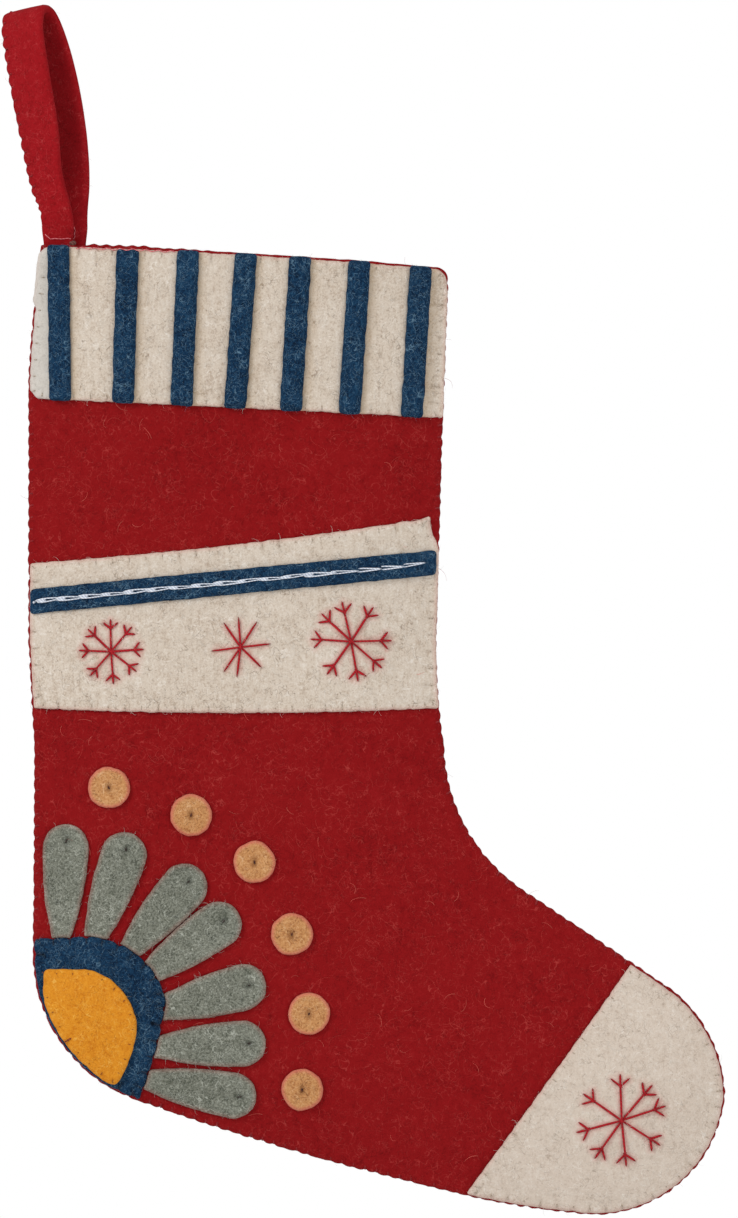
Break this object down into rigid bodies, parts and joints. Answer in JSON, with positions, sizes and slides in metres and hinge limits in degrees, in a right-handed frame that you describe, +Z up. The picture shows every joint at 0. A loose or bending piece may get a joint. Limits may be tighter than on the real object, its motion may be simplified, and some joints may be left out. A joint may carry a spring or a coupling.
{
  "type": "hanging stocking",
  "caption": "Felt stocking of two whip-stitched panels, hollow from the mouth to the toe, with striped cuff, banded ankle and sunburst heel, hung by a folded felt loop that it swings on.",
  "frame": {"origin": "the hook seat: the middle of the loop's inside at its top, where a hook or peg bears", "axes": "+Z up, away from the toe; +X from the heel side to the toe side; -Y out of the decorated front"},
  "size_m": [0.3064, 0.0336, 0.5095],
  "materials": {
    "red_felt": "deep red wool felt, matt, faintly mottled",
    "cream_felt": "cream wool felt with fine darker fibres",
    "blue_felt": "dark blue wool felt",
    "sage_felt": "grey-green wool felt",
    "yellow_felt": "golden yellow wool felt",
    "tan_felt": "tan wool felt",
    "red_thread": "red sewing thread, twisted",
    "cream_thread": "cream sewing thread, twisted",
    "blue_thread": "dark blue sewing thread",
    "dark_thread": "dark brown sewing thread"
  },
  "bodies": {
    "loop": {"hanging_loop": "red_felt", "loop_edge_stitches": "red_thread"},
    "stocking": {"front_panel": "red_felt", "back_panel": "red_felt", "cuff_band": "cream_felt", "cuff_stripe_1": "blue_felt", "cuff_stripe_2": "blue_felt", "cuff_stripe_3": "blue_felt", "cuff_stripe_4": "blue_felt", "cuff_stripe_5": "blue_felt", "cuff_stripe_6": "blue_felt", "cuff_stripe_7": "blue_felt", "ankle_band": "cream_felt", "ribbon_strip": "blue_felt", "toe_patch": "cream_felt", "heel_disc": "blue_felt", "heel_sun": "yellow_felt", "petal_1": "sage_felt", "petal_2": "sage_felt", "petal_3": "sage_felt", "petal_4": "sage_felt", "petal_5": "sage_felt", "petal_6": "sage_felt", "petal_7": "sage_felt", "dot_1": "tan_felt", "dot_2": "tan_felt", "dot_3": "tan_felt", "dot_4": "tan_felt", "dot_5": "tan_felt", "dot_6": "tan_felt", "loop_tail": "red_felt", "seam_stitches": "red_thread", "cuff_stitches": "cream_thread", "ankle_band_stitches": "cream_thread", "toe_patch_stitches": "cream_thread", "heel_disc_stitches": "blue_thread", "heel_sun_stitches": "dark_thread", "ribbon_chain_stitch": "cream_thread", "snowflake_left": "red_thread", "star_middle": "red_thread", "snowflake_right": "red_thread", "toe_snowflake": "red_thread", "petal_tacks": "dark_thread", "dot_tacks": "dark_thread"}
  },
  "joints": [
    {"name": "stocking_swing", "type": "hinge", "parent": "loop", "child": "stocking", "pos_m": [0.0148, 0, -0.0863], "axis": [1, 0, 0], "range_deg": [-75, 75]}
  ]
}
